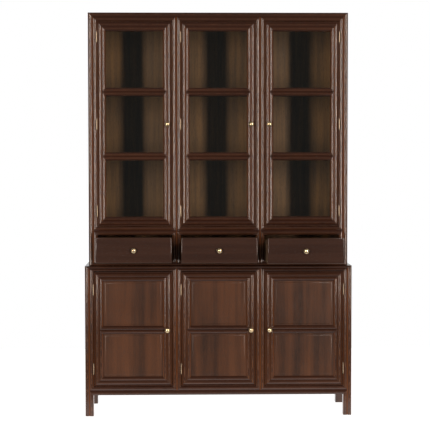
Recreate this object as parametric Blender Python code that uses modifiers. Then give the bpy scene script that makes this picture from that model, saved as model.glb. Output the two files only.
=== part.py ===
"""A three-bay china cabinet: a base with panelled doors, and a hutch with drawers and glazed doors.

The cabinet is modelled with its base's front face at y = 0, its back at positive y, the floor at
z = 0 and its middle at x = 0. One empty then carries everything to the frame's origin, which is
the middle of the floor that the cabinet covers with its drawers drawn out.
"""

import math

import bmesh
import bpy
from mathutils import Vector

# ---------------------------------------------------------------- driving sizes, in metres
FIT_GAP = 0.0003            # between pieces that touch

BASE_WIDTH = 1.500
BASE_DEPTH = 0.440
LEG_CLEARANCE = 0.118       # floor to the underside of the base
BASE_DOOR_OPENING = 0.651   # height between the base's rails
BASE_BOTTOM_RAIL = 0.048
BASE_TOP_THICKNESS = 0.030
LEG_WIDTH = 0.046
MIDDLE_BAY = 0.424          # opening between the two middle posts, base and hutch alike
MIDDLE_POST = 0.046

HUTCH_SIDE_STEP = 0.0225    # how far the hutch stands in from the base's ends
HUTCH_FRONT_STEP = 0.0185   # and from its front
HUTCH_FLOOR_THICKNESS = 0.028
DRAWER_OPENING = 0.145
WAIST_RAIL = 0.047
GLAZED_OPENING = 1.150      # height between the waist rail and the top rail
TOP_RAIL = 0.047
HUTCH_POST = 0.047

FACE_THICKNESS = 0.022      # posts, rails, doors and drawer fronts
BOARD_THICKNESS = 0.018
END_THICKNESS = 0.022
BACK_THICKNESS = 0.008
END_PANEL_RECESS = 0.010    # the end panels, behind the face of their posts

DOOR_GAP = 0.0025           # round every door and drawer front
GLAZED_STILE = 0.049
GLAZED_RAIL = 0.054
MUNTIN = 0.046
PANEL_STILE = 0.054
PANEL_RAIL = 0.054
PANEL_MIDDLE_RAIL = 0.046
PANEL_MIDDLE_HEIGHT = 0.318  # base door's lower edge to the middle of its middle rail
REBATE = 0.008              # how far glass and panels run under their frame
GLASS_RECESS = 0.012
GLASS_THICKNESS = 0.004
PANEL_RECESS = 0.009
PANEL_THICKNESS = 0.010

DRAWER_WALL = 0.012
DRAWER_BOTTOM = 0.008
DRAWER_BOX_HEIGHT = 0.105
DRAWER_SIDE_PLAY = 0.003
DRAWER_BACK_PLAY = 0.012
DRAWER_EDGE_ROUND = 0.006
DRAWER_PULLS = {"left": 0.200, "middle": 0.220, "right": 0.280}

HINGE_BARREL_RADIUS = 0.0034
HINGE_LENGTH = 0.056
HINGE_LEAF_THICKNESS = 0.0010
HINGE_LEAF_DEPTH = 0.016
HINGE_FINIAL = 0.0045
GLAZED_HINGE_INSET = 0.086  # hinge's middle from the end of a glazed door
PANEL_HINGE_INSET = 0.100   # and from the end of a base door

KNOB_RADIUS = 0.0150
KNOB_LENGTH = 0.0270
KNOB_STEM_RADIUS = 0.0055

SHELF_FRONT_SETBACK = 0.012

# ---------------------------------------------------------------- heights and depths that follow
BASE_RAIL_TOP = LEG_CLEARANCE + BASE_BOTTOM_RAIL
BASE_TOP_UNDERSIDE = BASE_RAIL_TOP + BASE_DOOR_OPENING
BASE_TOP = BASE_TOP_UNDERSIDE + BASE_TOP_THICKNESS
HUTCH_FOOT = BASE_TOP + FIT_GAP
DRAWER_FLOOR = BASE_TOP + HUTCH_FLOOR_THICKNESS
WAIST_UNDERSIDE = DRAWER_FLOOR + DRAWER_OPENING
WAIST_TOP = WAIST_UNDERSIDE + WAIST_RAIL
TOP_RAIL_UNDERSIDE = WAIST_TOP + GLAZED_OPENING
HUTCH_TOP = TOP_RAIL_UNDERSIDE + TOP_RAIL

BACK = BASE_DEPTH
BACK_PANEL_FRONT = BACK - BACK_THICKNESS
HUTCH_FRONT = HUTCH_FRONT_STEP
BEHIND_HUTCH_POSTS = HUTCH_FRONT + FACE_THICKNESS

BASE_END = BASE_WIDTH / 2
BASE_LEG_INNER = BASE_END - LEG_WIDTH
BASE_PANEL_INNER = BASE_END - END_PANEL_RECESS - END_THICKNESS
HUTCH_END = BASE_END - HUTCH_SIDE_STEP
HUTCH_POST_INNER = HUTCH_END - HUTCH_POST
HUTCH_BOARD_INNER = HUTCH_END - END_THICKNESS
POST_INNER = MIDDLE_BAY / 2
POST_OUTER = POST_INNER + MIDDLE_POST
POST_CENTRE = POST_INNER + MIDDLE_POST / 2

BAYS = ("left", "middle", "right")
HINGE_SIDE = {"left": -1, "middle": -1, "right": 1}
BASE_BAYS = {
    "left": (-BASE_LEG_INNER, -POST_OUTER),
    "middle": (-POST_INNER, POST_INNER),
    "right": (POST_OUTER, BASE_LEG_INNER),
}
HUTCH_BAYS = {
    "left": (-HUTCH_POST_INNER, -POST_OUTER),
    "middle": (-POST_INNER, POST_INNER),
    "right": (POST_OUTER, HUTCH_POST_INNER),
}

# The furthest reach of the drawers, halfway between which and the back lies the origin.
FURTHEST_FRONT = HUTCH_FRONT - max(DRAWER_PULLS.values()) - FIT_GAP - KNOB_LENGTH
MIDDLE_OF_FOOTPRINT = (FURTHEST_FRONT + BACK) / 2

KNOB_SEGMENTS = 20
BARREL_SEGMENTS = 12
MERGE_DISTANCE = 0.00005


# ---------------------------------------------------------------- scene, finishes and helpers
def new_collection(name):
    collection = bpy.data.collections.new(name)
    bpy.context.scene.collection.children.link(collection)
    return collection


def finish(name, colour, roughness, metallic=0.0, transmission=0.0):
    """One Principled finish that the pieces of a kind share."""
    material = bpy.data.materials.new(name)
    material.use_nodes = True
    shader = material.node_tree.nodes["Principled BSDF"]
    shader.inputs["Base Color"].default_value = (*colour, 1.0)
    shader.inputs["Roughness"].default_value = roughness
    shader.inputs["Metallic"].default_value = metallic
    shader.inputs["Transmission Weight"].default_value = transmission
    material.diffuse_color = (*colour, 1.0)
    return material


for leftover in list(bpy.data.objects):
    bpy.data.objects.remove(leftover, do_unlink=True)

PARTS = new_collection("china_cabinet")
CUTTERS = new_collection("cutters")

FRAME_WOOD = finish("frame_wood", (0.052, 0.026, 0.016), 0.38)
PANEL_WOOD = finish("panel_wood", (0.105, 0.045, 0.024), 0.42)
DRAWER_WOOD = finish("drawer_wood", (0.045, 0.022, 0.015), 0.40)
INSIDE_WOOD = finish("inside_wood", (0.070, 0.042, 0.020), 0.55)
BRASS = finish("brass", (0.80, 0.58, 0.30), 0.22, metallic=1.0)
GLASS = finish("glass", (0.92, 0.95, 0.93), 0.03, transmission=1.0)


def empty(name, point, parent=None):
    """An empty at a point in the cabinet's own frame, which its pieces hang from."""
    marker = bpy.data.objects.new(name, None)
    marker["point"] = list(point)
    origin = Vector(parent["point"]) if parent else Vector((0.0, MIDDLE_OF_FOOTPRINT, 0.0))
    marker.location = Vector(point) - origin
    marker.parent = parent
    PARTS.objects.link(marker)
    return marker


CABINET = empty("cabinet", (0.0, 0.0, 0.0))


def place(piece, middle, material, body):
    """Hang a piece from its body's empty, with its own origin at the given middle."""
    piece.location = Vector(middle) - Vector(body["point"])
    piece.parent = body
    if not piece.data.materials:
        piece.data.materials.append(material)
    PARTS.objects.link(piece)
    return piece


def block_mesh(name, low, high):
    size = Vector(high) - Vector(low)
    mesh = bpy.data.meshes.new(name)
    shape = bmesh.new()
    bmesh.ops.create_cube(shape, size=1.0)
    bmesh.ops.scale(shape, vec=size, verts=shape.verts)
    shape.to_mesh(mesh)
    shape.free()
    return mesh


def block(name, low, high, material, body=CABINET):
    """A sawn piece between two opposite corners."""
    piece = bpy.data.objects.new(name, block_mesh(name, low, high))
    return place(piece, (Vector(low) + Vector(high)) / 2, material, body)


def tool(name, mesh, middle, body):
    """A cutter or a joined-on shape: hidden, and never a piece of its own."""
    shape = bpy.data.objects.new(name, mesh)
    shape.location = Vector(middle) - Vector(body["point"])
    shape.parent = body
    shape.hide_render = True
    shape.display_type = "WIRE"
    CUTTERS.objects.link(shape)
    return shape


def combine(piece, low, high, operation="DIFFERENCE", body=CABINET):
    """Cut a block out of a piece, or join one on to it."""
    name = f"{piece.name}_{operation.lower()}_{len(piece.modifiers)}"
    middle = (Vector(low) + Vector(high)) / 2
    modifier = piece.modifiers.new(name, "BOOLEAN")
    modifier.operation = operation
    modifier.solver = "EXACT"
    modifier.object = tool(name, block_mesh(name, low, high), middle, body)


def board_from_plan(name, plan, low_z, high_z, material):
    """A board sawn to an outline in plan, given as its corners in order."""
    curve = bpy.data.curves.new(name, "CURVE")
    curve.dimensions = "2D"
    curve.fill_mode = "BOTH"
    curve.extrude = (high_z - low_z) / 2
    spline = curve.splines.new("POLY")
    spline.points.add(len(plan) - 1)
    for point, (x, y) in zip(spline.points, plan):
        point.co = (x, y, 0.0, 1.0)
    spline.use_cyclic_u = True
    outline = bpy.data.objects.new(name, curve)
    CUTTERS.objects.link(outline)
    bpy.context.view_layer.update()
    evaluated = outline.evaluated_get(bpy.context.evaluated_depsgraph_get())
    mesh = bpy.data.meshes.new_from_object(evaluated)
    bpy.data.objects.remove(outline, do_unlink=True)
    bpy.data.curves.remove(curve)
    mesh.name = name
    shape = bmesh.new()
    shape.from_mesh(mesh)
    bmesh.ops.remove_doubles(shape, verts=shape.verts, dist=MERGE_DISTANCE)
    bmesh.ops.recalc_face_normals(shape, faces=shape.faces)
    shape.to_mesh(mesh)
    shape.free()
    mesh.materials.clear()
    piece = bpy.data.objects.new(name, mesh)
    return place(piece, (0.0, 0.0, (low_z + high_z) / 2), material, CABINET)


def notched_board(name, half_widths, rows, low_z, high_z):
    """A board notched round the posts at its corners.

    half_widths are its narrow and its wide half width. rows lists (y, True where the board is
    narrow behind that y) from front to back, and ends with the y of the back edge.
    """
    narrow_half, wide_half = half_widths
    columns = (-wide_half, -narrow_half, narrow_half, wide_half)
    across = len(columns) - 1
    count = len(rows) - 1
    shape = bmesh.new()
    bmesh.ops.create_grid(shape, x_segments=across, y_segments=count, size=1.0)
    for vert in shape.verts:
        column = round((vert.co.x + 1) / 2 * across)
        row = round((vert.co.y + 1) / 2 * count)
        vert.co = (columns[column], rows[row][0], (low_z - high_z) / 2)
    narrow_spans = [(rows[i][0], rows[i + 1][0]) for i in range(count) if rows[i][1]]
    notches = []
    for face in shape.faces:
        middle = face.calc_center_median()
        in_narrow_row = any(front < middle.y < back for front, back in narrow_spans)
        if in_narrow_row and abs(middle.x) > narrow_half:
            notches.append(face)
    bmesh.ops.delete(shape, geom=notches, context="FACES")
    raised = bmesh.ops.extrude_face_region(shape, geom=shape.faces[:])["geom"]
    top_verts = [item for item in raised if isinstance(item, bmesh.types.BMVert)]
    bmesh.ops.translate(shape, vec=(0.0, 0.0, high_z - low_z), verts=top_verts)
    bmesh.ops.recalc_face_normals(shape, faces=shape.faces)
    mesh = bpy.data.meshes.new(name)
    shape.to_mesh(mesh)
    shape.free()
    piece = bpy.data.objects.new(name, mesh)
    return place(piece, (0.0, 0.0, (low_z + high_z) / 2), FRAME_WOOD, CABINET)


def turned_mesh(name, profile, segments):
    """A shape turned about z from (radius, height) points, listed from its top down."""
    mesh = bpy.data.meshes.new(name)
    shape = bmesh.new()
    verts = [shape.verts.new((radius, 0.0, height)) for radius, height in profile]
    for upper, lower in zip(verts, verts[1:]):
        shape.edges.new((upper, lower))
    shape.to_mesh(mesh)
    shape.free()
    mesh["segments"] = segments
    return mesh


def turn(piece):
    """Spin a turned piece's profile about its own z axis."""
    screw = piece.modifiers.new("turning", "SCREW")
    screw.axis = "Z"
    screw.angle = math.tau
    screw.steps = piece.data["segments"]
    screw.render_steps = screw.steps
    screw.use_merge_vertices = True
    screw.merge_threshold = MERGE_DISTANCE
    screw.use_smooth_shade = True
    return piece


# ---------------------------------------------------------------- base
def base_board(name, low_z, high_z):
    """A board whose front edge is flush between the legs, notched round all four of them."""
    legs_depth = LEG_WIDTH + FIT_GAP
    half_widths = (BASE_LEG_INNER - FIT_GAP, BASE_PANEL_INNER - FIT_GAP)
    rows = [
        (0.0, True),
        (legs_depth, False),
        (BACK - legs_depth, True),
        (BACK_PANEL_FRONT - FIT_GAP, True),
    ]
    return notched_board(name, half_widths, rows, low_z, high_z)


def base_end(side, name):
    """One end of the base: two legs with a recessed panel glued between them."""
    def between(inner, outer, front, back, low_z, high_z):
        xs = sorted((side * inner, side * outer))
        return (xs[0], front, low_z), (xs[1], back, high_z)

    clear = 0.05
    whole = between(BASE_LEG_INNER, BASE_END, 0.0, BACK, 0.0, BASE_TOP)
    end = block(name, *whole, FRAME_WOOD)
    leg_back = BACK - LEG_WIDTH
    arch = between(BASE_LEG_INNER - clear, BASE_END + clear, LEG_WIDTH, leg_back,
                   -clear, LEG_CLEARANCE)
    combine(end, *arch)
    inner = between(BASE_LEG_INNER - clear, BASE_PANEL_INNER, LEG_WIDTH, leg_back,
                    -clear, BASE_TOP + clear)
    combine(end, *inner)
    outer = between(BASE_END - END_PANEL_RECESS, BASE_END + clear, LEG_WIDTH, leg_back,
                    BASE_RAIL_TOP, BASE_TOP - LEG_WIDTH)
    combine(end, *outer)
    return end


def make_base():
    base_end(-1, "base_end_left")
    base_end(1, "base_end_right")
    base_board("base_top", BASE_TOP_UNDERSIDE, BASE_TOP)
    bottom = base_board("base_bottom", LEG_CLEARANCE, BASE_RAIL_TOP)
    under_board = BASE_RAIL_TOP - BOARD_THICKNESS
    combine(bottom, (-BASE_END, FACE_THICKNESS, 0.0), (BASE_END, BACK + LEG_WIDTH, under_board))
    for side, name in ((-1, "base_post_left"), (1, "base_post_right")):
        block(
            name,
            (side * POST_CENTRE - MIDDLE_POST / 2, 0.0, BASE_RAIL_TOP + FIT_GAP),
            (side * POST_CENTRE + MIDDLE_POST / 2, FACE_THICKNESS, BASE_TOP_UNDERSIDE - FIT_GAP),
            FRAME_WOOD,
        )
    half_width = BASE_LEG_INNER - FIT_GAP
    block(
        "base_back",
        (-half_width, BACK_PANEL_FRONT, LEG_CLEARANCE),
        (half_width, BACK, BASE_TOP),
        INSIDE_WOOD,
    )


# ---------------------------------------------------------------- hutch
def hutch_board(name, low_z, high_z):
    """A board whose front edge is flush between the hutch's posts, notched round them."""
    half_widths = (HUTCH_POST_INNER - FIT_GAP, HUTCH_BOARD_INNER - FIT_GAP)
    rows = [
        (HUTCH_FRONT, True),
        (BEHIND_HUTCH_POSTS + FIT_GAP, False),
        (BACK_PANEL_FRONT - FIT_GAP, True),
    ]
    return notched_board(name, half_widths, rows, low_z, high_z)


def hutch_end(side, name):
    """One end of the hutch: a wide front post with the end board glued behind it."""
    plan = [
        (side * HUTCH_END, HUTCH_FRONT),
        (side * HUTCH_POST_INNER, HUTCH_FRONT),
        (side * HUTCH_POST_INNER, BEHIND_HUTCH_POSTS),
        (side * HUTCH_BOARD_INNER, BEHIND_HUTCH_POSTS),
        (side * HUTCH_BOARD_INNER, BACK),
        (side * HUTCH_END, BACK),
    ]
    end = board_from_plan(name, plan, HUTCH_FOOT, HUTCH_TOP, FRAME_WOOD)
    panel_xs = sorted((side * (HUTCH_END - END_PANEL_RECESS), side * BASE_END))
    combine(
        end,
        (panel_xs[0], HUTCH_FRONT + HUTCH_POST, HUTCH_FOOT + HUTCH_POST),
        (panel_xs[1], BACK - HUTCH_POST, HUTCH_TOP - HUTCH_POST),
    )
    return end


def drawer_case():
    """The hutch's floor, with the walls that part and guide the three drawers."""
    guides_top = WAIST_TOP - BOARD_THICKNESS - FIT_GAP
    case = hutch_board("drawer_case", HUTCH_FOOT, guides_top)
    for low_x, high_x in HUTCH_BAYS.values():
        bay_low = (low_x, 0.0, DRAWER_FLOOR)
        bay_high = (high_x, BACK + LEG_WIDTH, HUTCH_TOP)
        combine(case, bay_low, bay_high)
    behind_rail = BEHIND_HUTCH_POSTS + FIT_GAP
    combine(
        case,
        (-BASE_END, 0.0, WAIST_UNDERSIDE - FIT_GAP),
        (BASE_END, behind_rail, HUTCH_TOP),
    )
    return case


def hutch_divider(side, name):
    """A middle post with the board behind it that parts two bays."""
    plan = []
    for edge in (-1, 1):
        post_x = side * POST_CENTRE + edge * MIDDLE_POST / 2
        board_x = side * POST_CENTRE + edge * BOARD_THICKNESS / 2
        arm = [
            (post_x, HUTCH_FRONT),
            (post_x, BEHIND_HUTCH_POSTS),
            (board_x, BEHIND_HUTCH_POSTS),
            (board_x, BACK_PANEL_FRONT - FIT_GAP),
        ]
        plan += arm if edge < 0 else arm[::-1]
    board_top = HUTCH_TOP - BOARD_THICKNESS - FIT_GAP
    divider = board_from_plan(name, plan, WAIST_TOP + FIT_GAP, board_top, FRAME_WOOD)
    combine(
        divider,
        (-BASE_END, 0.0, TOP_RAIL_UNDERSIDE - FIT_GAP),
        (BASE_END, BEHIND_HUTCH_POSTS + FIT_GAP, HUTCH_TOP),
    )
    return divider


def muntin_middles():
    """Heights of the two glazing bars, which part a door's glass into three equal panes."""
    low = WAIST_TOP + DOOR_GAP + GLAZED_RAIL
    high = TOP_RAIL_UNDERSIDE - DOOR_GAP - GLAZED_RAIL
    pane = (high - low - 2 * MUNTIN) / 3
    return [low + pane + MUNTIN / 2, high - pane - MUNTIN / 2]


def make_shelves():
    """Two shelves in each bay, level with the glazing bars that hide their front edges."""
    board_inner = {
        "left": (-HUTCH_BOARD_INNER, -POST_CENTRE - BOARD_THICKNESS / 2),
        "middle": (-POST_CENTRE + BOARD_THICKNESS / 2, POST_CENTRE - BOARD_THICKNESS / 2),
        "right": (POST_CENTRE + BOARD_THICKNESS / 2, HUTCH_BOARD_INNER),
    }
    front = BEHIND_HUTCH_POSTS + SHELF_FRONT_SETBACK
    for level, middle in zip(("lower", "upper"), muntin_middles()):
        for bay in BAYS:
            low_x, high_x = board_inner[bay]
            block(
                f"shelf_{level}_{bay}",
                (low_x + FIT_GAP, front, middle - BOARD_THICKNESS / 2),
                (high_x - FIT_GAP, BACK_PANEL_FRONT - FIT_GAP, middle + BOARD_THICKNESS / 2),
                INSIDE_WOOD,
            )


def make_hutch():
    hutch_end(-1, "hutch_end_left")
    hutch_end(1, "hutch_end_right")
    drawer_case()
    deck = hutch_board("hutch_deck", WAIST_UNDERSIDE, WAIST_TOP)
    behind_rail = (-BASE_END, BEHIND_HUTCH_POSTS)
    combine(deck, (*behind_rail, BASE_TOP), (BASE_END, BACK, WAIST_TOP - BOARD_THICKNESS))
    top = hutch_board("hutch_top", TOP_RAIL_UNDERSIDE, HUTCH_TOP)
    combine(top, (*behind_rail, BASE_TOP), (BASE_END, BACK, HUTCH_TOP - BOARD_THICKNESS))
    hutch_divider(-1, "hutch_divider_left")
    hutch_divider(1, "hutch_divider_right")
    half_width = HUTCH_BOARD_INNER - FIT_GAP
    block(
        "hutch_back",
        (-half_width, BACK_PANEL_FRONT, HUTCH_FOOT),
        (half_width, BACK, HUTCH_TOP),
        INSIDE_WOOD,
    )
    make_shelves()


# ---------------------------------------------------------------- fittings
def knob_profile():
    """A turned knob's (radius, height) points, from the middle of its face down to its foot."""
    cap_height = KNOB_LENGTH * 0.42
    cap_middle = KNOB_LENGTH - cap_height * 0.55
    points = [(0.0, KNOB_LENGTH)]
    for step in range(1, 7):
        angle = math.radians(24 * step)
        rise = cap_height * (0.55 if angle < math.pi / 2 else 0.45)
        points.append((KNOB_RADIUS * math.sin(angle), cap_middle + rise * math.cos(angle)))
    points += [
        (KNOB_STEM_RADIUS, cap_middle - cap_height * 0.6),
        (KNOB_STEM_RADIUS, 0.0035),
        (KNOB_STEM_RADIUS * 1.8, 0.0015),
        (KNOB_STEM_RADIUS * 1.8, 0.0),
        (0.0, 0.0),
    ]
    return points


KNOB_MESH = turned_mesh("knob", knob_profile(), KNOB_SEGMENTS)


def knob(name, x, front, z, body):
    """A brass knob standing out of a front face."""
    piece = bpy.data.objects.new(name, KNOB_MESH)
    place(piece, (x, front - FIT_GAP, z), BRASS, body)
    piece.rotation_euler = (math.pi / 2, 0.0, 0.0)
    return turn(piece)


def hinge_profile():
    """A hinge barrel's points, finial to finial, about its own middle."""
    half = HINGE_LENGTH / 2
    tip = half + HINGE_FINIAL
    upper = [
        (0.0, tip),
        (HINGE_BARREL_RADIUS * 0.7, tip - HINGE_FINIAL * 0.25),
        (HINGE_BARREL_RADIUS * 0.7, tip - HINGE_FINIAL * 0.75),
        (HINGE_BARREL_RADIUS, half),
    ]
    return upper + [(radius, -height) for radius, height in reversed(upper)]


HINGE_MESH = turned_mesh("hinge_barrel", hinge_profile(), BARREL_SEGMENTS)


def pin_axis(front):
    """How far forward the hinges' pins stand, with their barrels just clear of the face."""
    return front - HINGE_BARREL_RADIUS - FIT_GAP


def hinge(name, post_face, side, front, z):
    """A butt hinge: its barrel in front of the gap and its leaf on the edge of the post."""
    axis_x = post_face - side * DOOR_GAP / 2
    axis_y = pin_axis(front)
    piece = bpy.data.objects.new(name, HINGE_MESH)
    place(piece, (axis_x, axis_y, z), BRASS, CABINET)
    turn(piece)
    leaf_edges = sorted((
        post_face - side * FIT_GAP,
        post_face - side * (FIT_GAP + HINGE_LEAF_THICKNESS),
    ))
    combine(
        piece,
        (leaf_edges[0], axis_y, z - HINGE_LENGTH / 2),
        (leaf_edges[1], front + HINGE_LEAF_DEPTH, z + HINGE_LENGTH / 2),
        operation="UNION",
    )
    return piece


# ---------------------------------------------------------------- doors
def door_body(kind, bay, bays, front):
    """The empty on a door's hinge axis, the door's edges, and the edges of its opening."""
    low_x, high_x = bays[bay]
    side = HINGE_SIDE[bay]
    post_face = low_x if side < 0 else high_x
    axis = (post_face - side * DOOR_GAP / 2, pin_axis(front), 0.0)
    body = empty(f"{kind}_door_{bay}_axis", axis, CABINET)
    return body, (low_x + DOOR_GAP, high_x - DOOR_GAP), post_face, side


def door_frame(name, edges, span, front, stile, rail, bars, recess, body):
    """A glued-up door frame: stiles, rails and cross bars, with a rebate behind the bars.

    bars lists the (low, high) edges of each cross bar, from the bottom up.
    """
    low = (edges[0], front, span[0])
    high = (edges[1], front + FACE_THICKNESS, span[1])
    frame = block(name, low, high, FRAME_WOOD, body)
    clear = FACE_THICKNESS
    stops = [span[0] + rail, *(edge for bar in bars for edge in bar), span[1] - rail]
    for low_z, high_z in zip(stops[::2], stops[1::2]):
        combine(
            frame,
            (edges[0] + stile, front - clear, low_z),
            (edges[1] - stile, front + 2 * clear, high_z),
            body=body,
        )
    combine(
        frame,
        (edges[0] + stile - REBATE, front + recess - FIT_GAP, stops[0] - REBATE),
        (edges[1] - stile + REBATE, front + 2 * clear, stops[-1] + REBATE),
        body=body,
    )
    return frame


def infill(name, edges, span, front, stile, rail, recess, thickness, material, body):
    """The glass or the panel that lies in a door frame's rebate."""
    inset = REBATE - FIT_GAP
    return block(
        name,
        (edges[0] + stile - inset, front + recess, span[0] + rail - inset),
        (edges[1] - stile + inset, front + recess + thickness, span[1] - rail + inset),
        material,
        body,
    )


def door_knob(name, edges, side, stile, front, z, body):
    """A knob on the middle of the stile away from the hinges."""
    x = edges[1] - stile / 2 if side < 0 else edges[0] + stile / 2
    return knob(name, x, front, z, body)


def make_glazed_door(bay):
    front = HUTCH_FRONT
    body, edges, post_face, side = door_body("glazed", bay, HUTCH_BAYS, front)
    span = (WAIST_TOP + DOOR_GAP, TOP_RAIL_UNDERSIDE - DOOR_GAP)
    bars = [(middle - MUNTIN / 2, middle + MUNTIN / 2) for middle in muntin_middles()]
    door_frame(f"glazed_frame_{bay}", edges, span, front, GLAZED_STILE, GLAZED_RAIL, bars,
               GLASS_RECESS, body)
    infill(f"glass_{bay}", edges, span, front, GLAZED_STILE, GLAZED_RAIL, GLASS_RECESS,
           GLASS_THICKNESS, GLASS, body)
    middle = sum(span) / 2
    door_knob(f"glazed_knob_{bay}", edges, side, GLAZED_STILE, front, middle, body)
    heights = (span[0] + GLAZED_HINGE_INSET, middle, span[1] - GLAZED_HINGE_INSET)
    for level, height in zip(("bottom", "middle", "top"), heights):
        hinge(f"glazed_hinge_{bay}_{level}", post_face, side, front, height)


def make_panel_door(bay):
    front = 0.0
    body, edges, post_face, side = door_body("panel", bay, BASE_BAYS, front)
    span = (BASE_RAIL_TOP + DOOR_GAP, BASE_TOP_UNDERSIDE - DOOR_GAP)
    middle = span[0] + PANEL_MIDDLE_HEIGHT
    bars = [(middle - PANEL_MIDDLE_RAIL / 2, middle + PANEL_MIDDLE_RAIL / 2)]
    door_frame(f"panel_frame_{bay}", edges, span, front, PANEL_STILE, PANEL_RAIL, bars,
               PANEL_RECESS, body)
    infill(f"door_panel_{bay}", edges, span, front, PANEL_STILE, PANEL_RAIL, PANEL_RECESS,
           PANEL_THICKNESS, PANEL_WOOD, body)
    door_knob(f"panel_knob_{bay}", edges, side, PANEL_STILE, front, middle, body)
    heights = (span[0] + PANEL_HINGE_INSET, span[1] - PANEL_HINGE_INSET)
    for level, height in zip(("bottom", "top"), heights):
        hinge(f"panel_hinge_{bay}_{level}", post_face, side, front, height)


# ---------------------------------------------------------------- drawers
def make_drawer(bay):
    """A drawer as it stands drawn out: a thick front with a lidless box glued behind it."""
    pull = DRAWER_PULLS[bay]
    front = HUTCH_FRONT - pull
    body = empty(f"drawer_{bay}_slide", (0.0, front, DRAWER_FLOOR), CABINET)
    low_x, high_x = HUTCH_BAYS[bay]
    face_low = (low_x + DOOR_GAP, front, DRAWER_FLOOR + DOOR_GAP)
    face_high = (high_x - DOOR_GAP, front + FACE_THICKNESS, WAIST_UNDERSIDE - DOOR_GAP)
    drawer = block(f"drawer_{bay}", face_low, face_high, DRAWER_WOOD, body)
    rounding = drawer.modifiers.new("rounded_edges", "BEVEL")
    rounding.width = DRAWER_EDGE_ROUND
    rounding.segments = 3
    box_back = BACK_PANEL_FRONT - DRAWER_BACK_PLAY - pull
    join_y = front + FACE_THICKNESS / 2
    box_low = (low_x + DRAWER_SIDE_PLAY, join_y, DRAWER_FLOOR + FIT_GAP)
    box_high = (high_x - DRAWER_SIDE_PLAY, box_back, DRAWER_FLOOR + DRAWER_BOX_HEIGHT)
    combine(drawer, box_low, box_high, operation="UNION", body=body)
    inside_low = (
        box_low[0] + DRAWER_WALL,
        front + FACE_THICKNESS,
        box_low[2] + DRAWER_BOTTOM,
    )
    inside_high = (box_high[0] - DRAWER_WALL, box_back - DRAWER_WALL, WAIST_TOP)
    combine(drawer, inside_low, inside_high, body=body)
    face_middle = (face_low[2] + face_high[2]) / 2
    knob(f"drawer_knob_{bay}", (low_x + high_x) / 2, front, face_middle, body)


make_base()
make_hutch()
for bay_name in BAYS:
    make_glazed_door(bay_name)
    make_panel_door(bay_name)
    make_drawer(bay_name)
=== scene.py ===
# %% [markdown]
# # A china cabinet, dressed round its working frame
# The cabinet's working frame is already there: plain posts, doors, drawers and hinges that fit and
# move. This lesson dresses that frame. Every piece is made in place, in metres, with the floor at
# z = 0 and the doors facing -Y, and takes its place and size from the frame's own nodes, so
# nothing has to be fitted afterwards.

# %% Load the frame
import math

import bmesh
import bpy
import numpy as np
from mathutils import Matrix, Vector


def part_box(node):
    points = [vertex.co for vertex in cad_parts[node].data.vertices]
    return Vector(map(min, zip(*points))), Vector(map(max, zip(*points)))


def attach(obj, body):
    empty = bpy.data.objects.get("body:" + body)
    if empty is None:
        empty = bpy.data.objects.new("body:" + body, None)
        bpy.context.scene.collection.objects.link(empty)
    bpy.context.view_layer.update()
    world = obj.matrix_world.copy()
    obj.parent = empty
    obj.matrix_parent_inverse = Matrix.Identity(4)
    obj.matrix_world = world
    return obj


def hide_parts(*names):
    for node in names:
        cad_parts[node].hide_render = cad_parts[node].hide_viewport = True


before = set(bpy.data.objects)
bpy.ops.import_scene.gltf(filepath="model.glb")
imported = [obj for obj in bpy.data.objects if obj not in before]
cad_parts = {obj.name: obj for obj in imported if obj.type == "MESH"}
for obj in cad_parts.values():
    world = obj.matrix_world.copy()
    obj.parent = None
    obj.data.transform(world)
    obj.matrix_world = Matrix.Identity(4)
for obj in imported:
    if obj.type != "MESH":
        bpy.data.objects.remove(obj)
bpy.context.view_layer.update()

# %% [markdown]
# ## Sizes read from the frame
# A cabinet is laid out from the edges of its posts and rails. Typing those numbers again would let
# the dress drift off the frame when a size changes, so each is read from the node that owns it.
# Only the fine sizes that the frame doesn't hold, such as the beads of the mouldings, are named
# here.

# %% Edges of posts, rails and openings
BAYS = ("left", "middle", "right")
HINGE_SIDE = {"left": -1, "middle": -1, "right": 1}
FIT = 0.0003

base_end_low, base_end_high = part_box("base_end_left")
hutch_end_low, hutch_end_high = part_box("hutch_end_left")
post_low, post_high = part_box("base_post_right")
bottom_low, bottom_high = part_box("base_bottom")
top_low, top_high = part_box("base_top")
case_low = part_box("drawer_case")[0]
deck_low, deck_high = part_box("hutch_deck")
roof_low, roof_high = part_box("hutch_top")
divider_low, divider_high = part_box("hutch_divider_right")

BASE_X = (base_end_low.x, base_end_high.x, -post_high.x, -post_low.x)
BASE_X += tuple(-x for x in reversed(BASE_X))
HUTCH_X = (hutch_end_low.x, hutch_end_high.x, -post_high.x, -post_low.x)
HUTCH_X += tuple(-x for x in reversed(HUTCH_X))
DRAWER_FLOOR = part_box("drawer_left")[0].z - FIT
BASE_Z = (bottom_low.z, bottom_high.z, top_low.z, top_high.z)
HUTCH_Z = (case_low.z, DRAWER_FLOOR, deck_low.z, deck_high.z, roof_low.z, roof_high.z)
BASE_FRONT = post_low.y
HUTCH_FRONT = roof_low.y
FACE = post_high.y - post_low.y
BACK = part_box("base_back")[1].y
BACK_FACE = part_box("base_back")[0].y
BOARD = 0.018
END_BOARD = 0.022
END_RECESS = 0.010
print(f"base {2 * BASE_X[-1]:.3f} m wide, hutch {2 * HUTCH_X[-1]:.3f} m, top {HUTCH_Z[-1]:.3f} m")

# %% [markdown]
# ## Shader arithmetic
# A procedural finish is mostly sums on values, and a chain of Math nodes is hard to read. Here a
# small class wraps a node's socket, so that an ordinary expression such as `1 - fibres * 0.3` adds
# the nodes it needs. Colours go through Mix nodes instead, because a Math node would turn them
# grey.

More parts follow.
